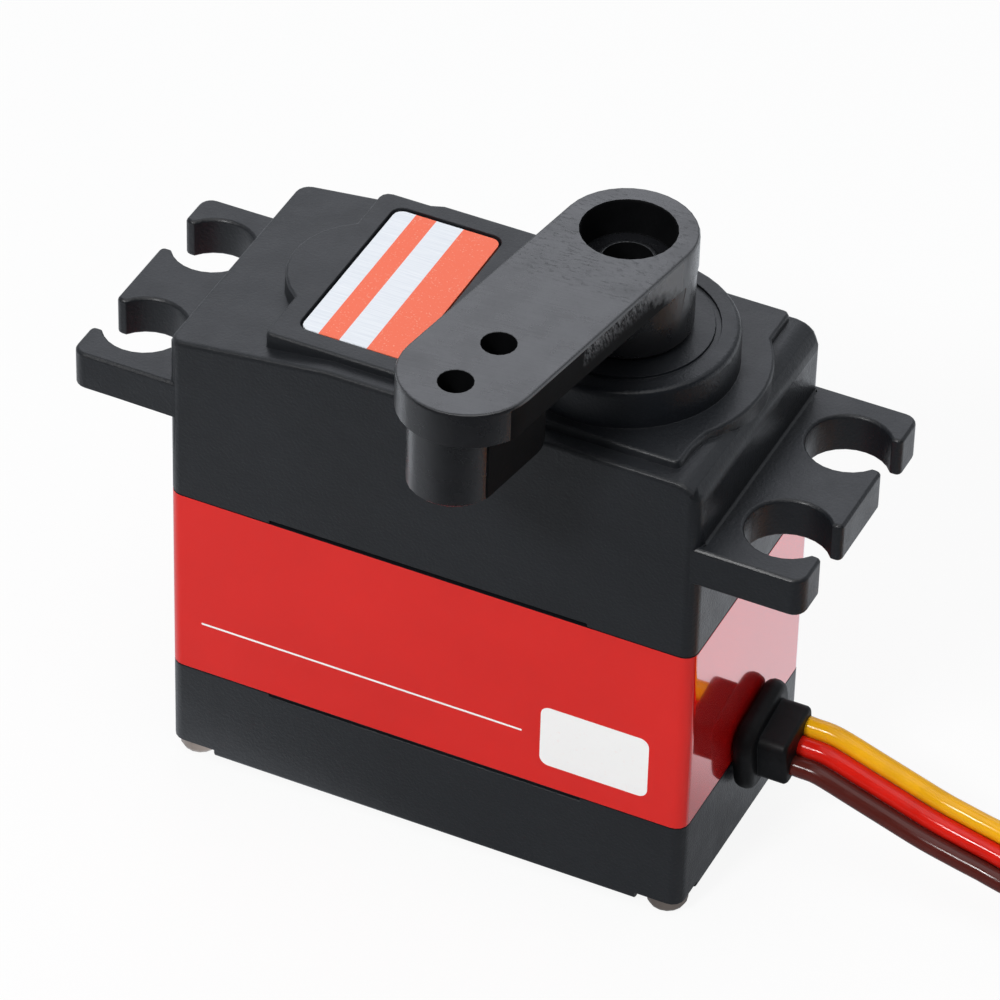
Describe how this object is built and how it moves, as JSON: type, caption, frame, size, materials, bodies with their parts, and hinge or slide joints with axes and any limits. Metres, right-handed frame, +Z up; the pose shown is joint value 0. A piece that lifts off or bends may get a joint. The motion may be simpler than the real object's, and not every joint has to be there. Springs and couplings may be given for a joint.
{
  "type": "hobby servo motor",
  "caption": "Box-shaped servo motor with slotted mounting ears, a raised output boss, a lever horn that turns, a geared drive inside and a flat lead that ends in a plug.",
  "frame": {"origin": "centre of the case in plan, on the underside of the lower cover", "axes": "+X along the case towards the output and lead end, -Y is the front in the picture, +Z up along the output shaft"},
  "size_m": [0.1126, 0.0462, 0.0507],
  "materials": {
    "black_plastic": "fine matt moulding",
    "red_plastic": "satin to glossy moulding",
    "label_foil": "brushed foil with orange-red stripes",
    "steel": "plain",
    "brass": "plain",
    "rubber": "matt",
    "horn_plastic": "scuffed satin",
    "gear_nylon": "satin",
    "board_green": "satin",
    "chip_black": "matt",
    "wire_brown": "soft sheen",
    "wire_red": "soft sheen",
    "wire_yellow": "soft sheen"
  },
  "bodies": {
    "case": {"gear_cover": "black_plastic", "middle_case": "red_plastic", "bottom_cover": "black_plastic", "label_plate": "label_foil", "case_screw_1": "steel", "case_screw_2": "steel", "case_screw_3": "steel", "case_screw_4": "steel", "cable_grommet": "rubber", "circuit_board": "board_green", "control_chip": "chip_black", "driver_chip_a": "chip_black", "driver_chip_b": "chip_black", "capacitor": "steel", "motor_can": "steel", "motor_end_cap": "gear_nylon", "motor_terminal_a": "brass", "motor_terminal_b": "brass", "motor_screw_a": "steel", "motor_screw_b": "steel", "gear_pin_long": "steel", "gear_pin_short": "steel", "bearing_outer_race": "steel", "lower_bushing": "brass", "potentiometer_body": "chip_black", "board_lead_brown": "wire_brown", "board_lead_red": "wire_red", "board_lead_yellow": "wire_yellow", "wire_brown": "wire_brown", "wire_red": "wire_red", "wire_yellow": "wire_yellow", "wire_brown_coil": "wire_brown", "wire_red_coil": "wire_red", "wire_yellow_coil": "wire_yellow", "coil_tie": "rubber", "plug_housing": "black_plastic", "plug_contact_1": "brass", "plug_contact_2": "brass", "plug_contact_3": "brass"},
    "output": {"output_gear": "brass", "servo_horn": "horn_plastic", "bearing_inner_race": "steel", "potentiometer_shaft": "steel"},
    "ball_cage": {"bearing_ball_cage": "brass"},
    "third_stage": {"third_gear": "brass"},
    "second_stage": {"second_gear": "gear_nylon"},
    "first_stage": {"first_gear": "gear_nylon"},
    "rotor": {"motor_shaft": "steel", "motor_pinion": "brass"}
  },
  "joints": [
    {"name": "output_turn", "type": "hinge", "parent": "case", "child": "output", "pos_m": [0.0097, 0, 0.035], "axis": [0, 0, 1], "range_deg": [-60, 60]},
    {"name": "cage_turn", "type": "hinge", "parent": "case", "child": "ball_cage", "pos_m": [0.0097, 0, 0.0395], "axis": [0, 0, 1], "range_deg": [-26, 26]},
    {"name": "third_turn", "type": "hinge", "parent": "case", "child": "third_stage", "pos_m": [-0.00127, 0.00069, 0.03], "axis": [0, 0, 1], "range_deg": [-160, 160]},
    {"name": "second_turn", "type": "hinge", "parent": "case", "child": "second_stage", "pos_m": [-0.00998, 0, 0.029], "axis": [0, 0, 1], "range_deg": [-460, 460]},
    {"name": "first_turn", "type": "hinge", "parent": "case", "child": "first_stage", "pos_m": [-0.00127, 0.00069, 0.0255], "axis": [0, 0, 1], "range_deg": [-1545, 1545]},
    {"name": "rotor_turn", "type": "hinge", "parent": "case", "child": "rotor", "pos_m": [-0.00998, 0, 0.025], "axis": [0, 0, 1], "range_deg": [-5210, 5210]}
  ],
  "couplings": [
    {"joint": "cage_turn", "follows": "output_turn", "ratio": 0.42},
    {"joint": "third_turn", "follows": "output_turn", "ratio": -2.6364},
    {"joint": "second_turn", "follows": "output_turn", "ratio": 7.6162},
    {"joint": "first_turn", "follows": "output_turn", "ratio": -25.705},
    {"joint": "rotor_turn", "follows": "output_turn", "ratio": 86.753}
  ]
}
